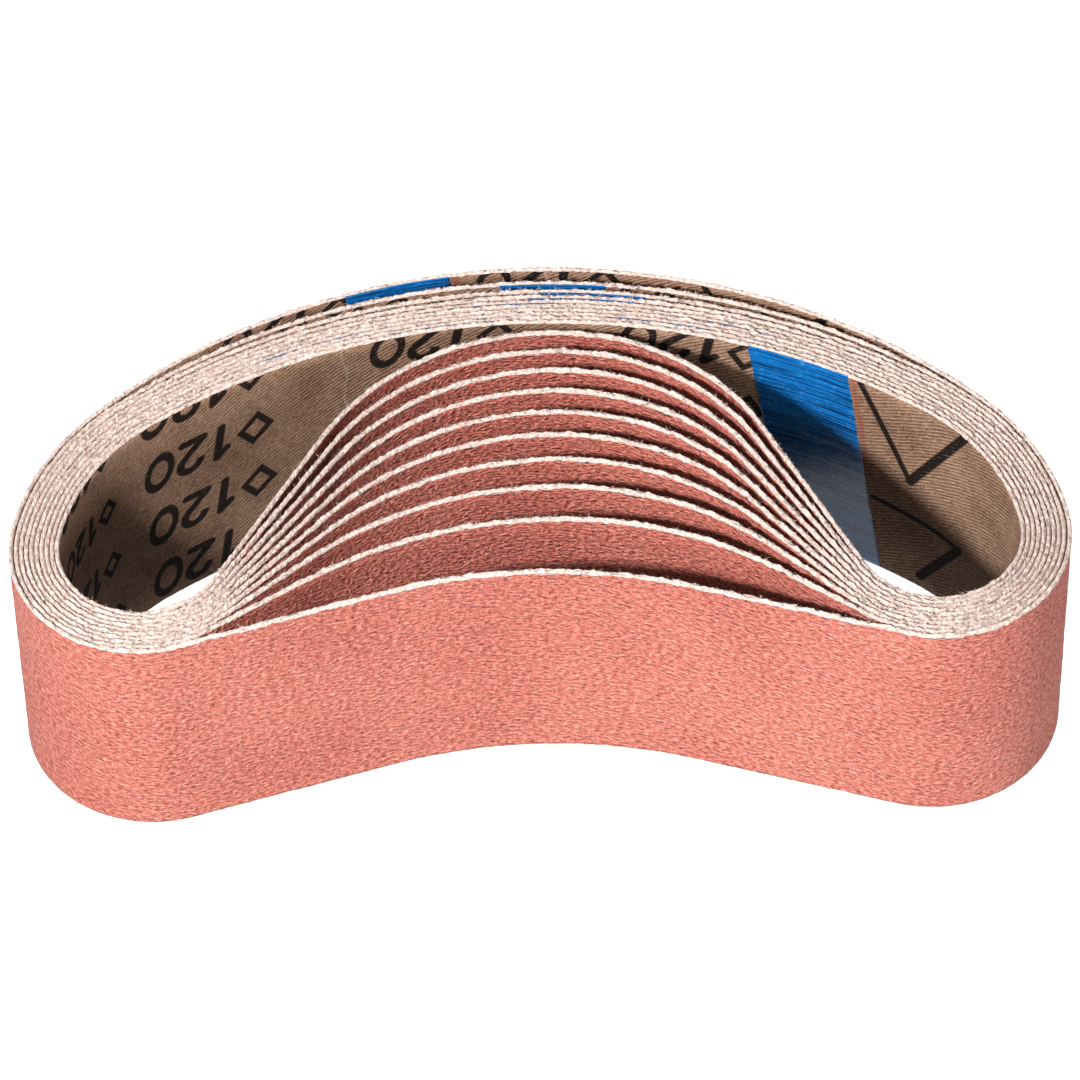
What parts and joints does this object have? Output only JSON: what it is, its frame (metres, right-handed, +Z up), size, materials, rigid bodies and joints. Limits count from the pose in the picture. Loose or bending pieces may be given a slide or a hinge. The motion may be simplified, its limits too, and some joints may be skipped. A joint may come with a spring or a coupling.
{
  "type": "sanding belt pack",
  "caption": "Nested pack of endless cloth sanding belts, coarse side out, each with a taped slanted joint inside; ends round, front arched inward.",
  "frame": {"origin": "middle of the pack's base: centre of the outermost belt's outline, on the face that the belts stand on", "axes": "+X along the pack's length, +Y from the arched front towards the back where the taped joints are, +Z up, along the belts' width"},
  "size_m": [0.1836, 0.0841, 0.05],
  "materials": {
    "cloth_backing": "brown twill, sized, with white cut edges",
    "grain_coat": "salmon-red abrasive grain in resin, matte with small glints",
    "joint_tape": "blue film with lengthwise threads, glossy"
  },
  "bodies": {
    "belt_01": {"belt_01_cloth": "cloth_backing", "belt_01_grain": "grain_coat", "belt_01_joint_tape": "joint_tape"},
    "belt_02": {"belt_02_cloth": "cloth_backing", "belt_02_grain": "grain_coat", "belt_02_joint_tape": "joint_tape"},
    "belt_03": {"belt_03_cloth": "cloth_backing", "belt_03_grain": "grain_coat", "belt_03_joint_tape": "joint_tape"},
    "belt_04": {"belt_04_cloth": "cloth_backing", "belt_04_grain": "grain_coat", "belt_04_joint_tape": "joint_tape"},
    "belt_05": {"belt_05_cloth": "cloth_backing", "belt_05_grain": "grain_coat", "belt_05_joint_tape": "joint_tape"},
    "belt_06": {"belt_06_cloth": "cloth_backing", "belt_06_grain": "grain_coat", "belt_06_joint_tape": "joint_tape"},
    "belt_07": {"belt_07_cloth": "cloth_backing", "belt_07_grain": "grain_coat", "belt_07_joint_tape": "joint_tape"},
    "belt_08": {"belt_08_cloth": "cloth_backing", "belt_08_grain": "grain_coat", "belt_08_joint_tape": "joint_tape"},
    "belt_09": {"belt_09_cloth": "cloth_backing", "belt_09_grain": "grain_coat", "belt_09_joint_tape": "joint_tape"},
    "belt_10": {"belt_10_cloth": "cloth_backing", "belt_10_grain": "grain_coat", "belt_10_joint_tape": "joint_tape"}
  },
  "joints": [
    {"name": "belt_02_lift", "type": "slide", "parent": "belt_01", "child": "belt_02", "axis": [0, 0, 1], "range_m": [0, 0.06]},
    {"name": "belt_03_lift", "type": "slide", "parent": "belt_01", "child": "belt_03", "axis": [0, 0, 1], "range_m": [0, 0.06]},
    {"name": "belt_04_lift", "type": "slide", "parent": "belt_01", "child": "belt_04", "axis": [0, 0, 1], "range_m": [0, 0.06]},
    {"name": "belt_05_lift", "type": "slide", "parent": "belt_01", "child": "belt_05", "axis": [0, 0, 1], "range_m": [0, 0.06]},
    {"name": "belt_06_lift", "type": "slide", "parent": "belt_01", "child": "belt_06", "axis": [0, 0, 1], "range_m": [0, 0.06]},
    {"name": "belt_07_lift", "type": "slide", "parent": "belt_01", "child": "belt_07", "axis": [0, 0, 1], "range_m": [0, 0.06]},
    {"name": "belt_08_lift", "type": "slide", "parent": "belt_01", "child": "belt_08", "axis": [0, 0, 1], "range_m": [0, 0.06]},
    {"name": "belt_09_lift", "type": "slide", "parent": "belt_01", "child": "belt_09", "axis": [0, 0, 1], "range_m": [0, 0.06]},
    {"name": "belt_10_lift", "type": "slide", "parent": "belt_01", "child": "belt_10", "axis": [0, 0, 1], "range_m": [0, 0.06]}
  ]
}
